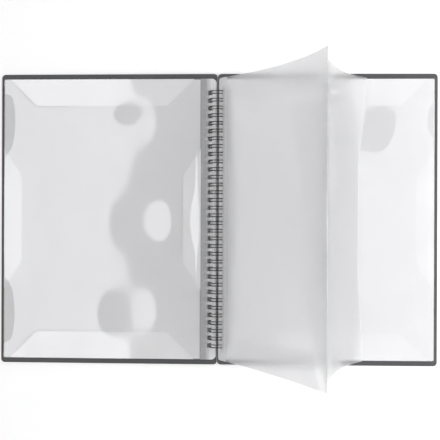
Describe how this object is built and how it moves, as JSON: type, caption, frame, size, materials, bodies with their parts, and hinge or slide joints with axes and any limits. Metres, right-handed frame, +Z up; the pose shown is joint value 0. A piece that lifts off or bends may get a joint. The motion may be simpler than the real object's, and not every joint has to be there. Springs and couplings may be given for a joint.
{
  "type": "clear pocket display book",
  "caption": "Open wire-bound display book: dark plastic covers, clear film pocket leaves with retaining flaps and white fillers, a leaf half turned with its fold-over panel open.",
  "frame": {"origin": "on the table, under the middle of the binding's axis", "axes": "+X across the spread to the right page, +Y along the binding to the pages' top edges, +Z up"},
  "size_m": [0.4856, 0.323, 0.2207],
  "materials": {
    "cover": "fine-grained charcoal polypropylene",
    "wire": "black nylon-coated steel wire",
    "film": "clear glossy film",
    "filler": "smooth white paper"
  },
  "bodies": {
    "back_half": {"back_cover": "cover", "binding_wire": "wire"},
    "front_half": {"front_cover": "cover"},
    "left_page_1": {"left_leaf_1": "film", "left_filler_1": "filler"},
    "left_page_2": {"left_leaf_2": "film", "left_filler_2": "filler"},
    "left_page_3": {"left_leaf_3": "film", "left_filler_3": "filler"},
    "left_page_4": {"left_leaf_4": "film", "left_filler_4": "filler"},
    "left_page_5": {"left_leaf_5": "film", "left_filler_5": "filler"},
    "turning_page": {"turning_leaf": "film"},
    "turning_flap": {"turning_leaf_panel": "film"},
    "right_page_1": {"right_leaf_1": "film", "right_filler_1": "filler"},
    "right_page_2": {"right_leaf_2": "film", "right_filler_2": "filler"},
    "right_page_3": {"right_leaf_3": "film", "right_filler_3": "filler"},
    "right_page_4": {"right_leaf_4": "film", "right_filler_4": "filler"}
  },
  "joints": [
    {"name": "front_cover_turn", "type": "hinge", "parent": "back_half", "child": "front_half", "pos_m": [0, 0, 0.00929], "axis": [0, 1, 0], "range_deg": [0, 40]},
    {"name": "left_leaf_1_turn", "type": "hinge", "parent": "back_half", "child": "left_page_1", "pos_m": [0, 0, 0.00929], "axis": [0, 1, 0], "range_deg": [0, 40.48]},
    {"name": "left_leaf_2_turn", "type": "hinge", "parent": "back_half", "child": "left_page_2", "pos_m": [0, 0, 0.00929], "axis": [0, 1, 0], "range_deg": [0, 40.96]},
    {"name": "left_leaf_3_turn", "type": "hinge", "parent": "back_half", "child": "left_page_3", "pos_m": [0, 0, 0.00929], "axis": [0, 1, 0], "range_deg": [0, 41.44]},
    {"name": "left_leaf_4_turn", "type": "hinge", "parent": "back_half", "child": "left_page_4", "pos_m": [0, 0, 0.00929], "axis": [0, 1, 0], "range_deg": [0, 41.92]},
    {"name": "left_leaf_5_turn", "type": "hinge", "parent": "back_half", "child": "left_page_5", "pos_m": [0, 0, 0.00929], "axis": [0, 1, 0], "range_deg": [0, 42.4]},
    {"name": "turning_leaf_turn", "type": "hinge", "parent": "back_half", "child": "turning_page", "pos_m": [0, 0, 0.00929], "axis": [0, 1, 0], "range_deg": [-60, 0]},
    {"name": "fold_over_panel_open", "type": "hinge", "parent": "turning_page", "child": "turning_flap", "pos_m": [0.10813, 0, 0.22131], "axis": [0, -1, 0], "range_deg": [0, 150]},
    {"name": "right_leaf_1_turn", "type": "hinge", "parent": "back_half", "child": "right_page_1", "pos_m": [0, 0, 0.00929], "axis": [0, 1, 0], "range_deg": [-4.8, 0]},
    {"name": "right_leaf_2_turn", "type": "hinge", "parent": "back_half", "child": "right_page_2", "pos_m": [0, 0, 0.00929], "axis": [0, 1, 0], "range_deg": [-9.6, 0]},
    {"name": "right_leaf_3_turn", "type": "hinge", "parent": "back_half", "child": "right_page_3", "pos_m": [0, 0, 0.00929], "axis": [0, 1, 0], "range_deg": [-14.4, 0]},
    {"name": "right_leaf_4_turn", "type": "hinge", "parent": "back_half", "child": "right_page_4", "pos_m": [0, 0, 0.00929], "axis": [0, 1, 0], "range_deg": [-19.2, 0]}
  ],
  "couplings": [
    {"joint": "left_leaf_1_turn", "follows": "front_cover_turn", "ratio": 1.012},
    {"joint": "left_leaf_2_turn", "follows": "front_cover_turn", "ratio": 1.024},
    {"joint": "left_leaf_3_turn", "follows": "front_cover_turn", "ratio": 1.036},
    {"joint": "left_leaf_4_turn", "follows": "front_cover_turn", "ratio": 1.048},
    {"joint": "left_leaf_5_turn", "follows": "front_cover_turn", "ratio": 1.06},
    {"joint": "right_leaf_1_turn", "follows": "turning_leaf_turn", "ratio": 0.08},
    {"joint": "right_leaf_2_turn", "follows": "turning_leaf_turn", "ratio": 0.16},
    {"joint": "right_leaf_3_turn", "follows": "turning_leaf_turn", "ratio": 0.24},
    {"joint": "right_leaf_4_turn", "follows": "turning_leaf_turn", "ratio": 0.32}
  ]
}
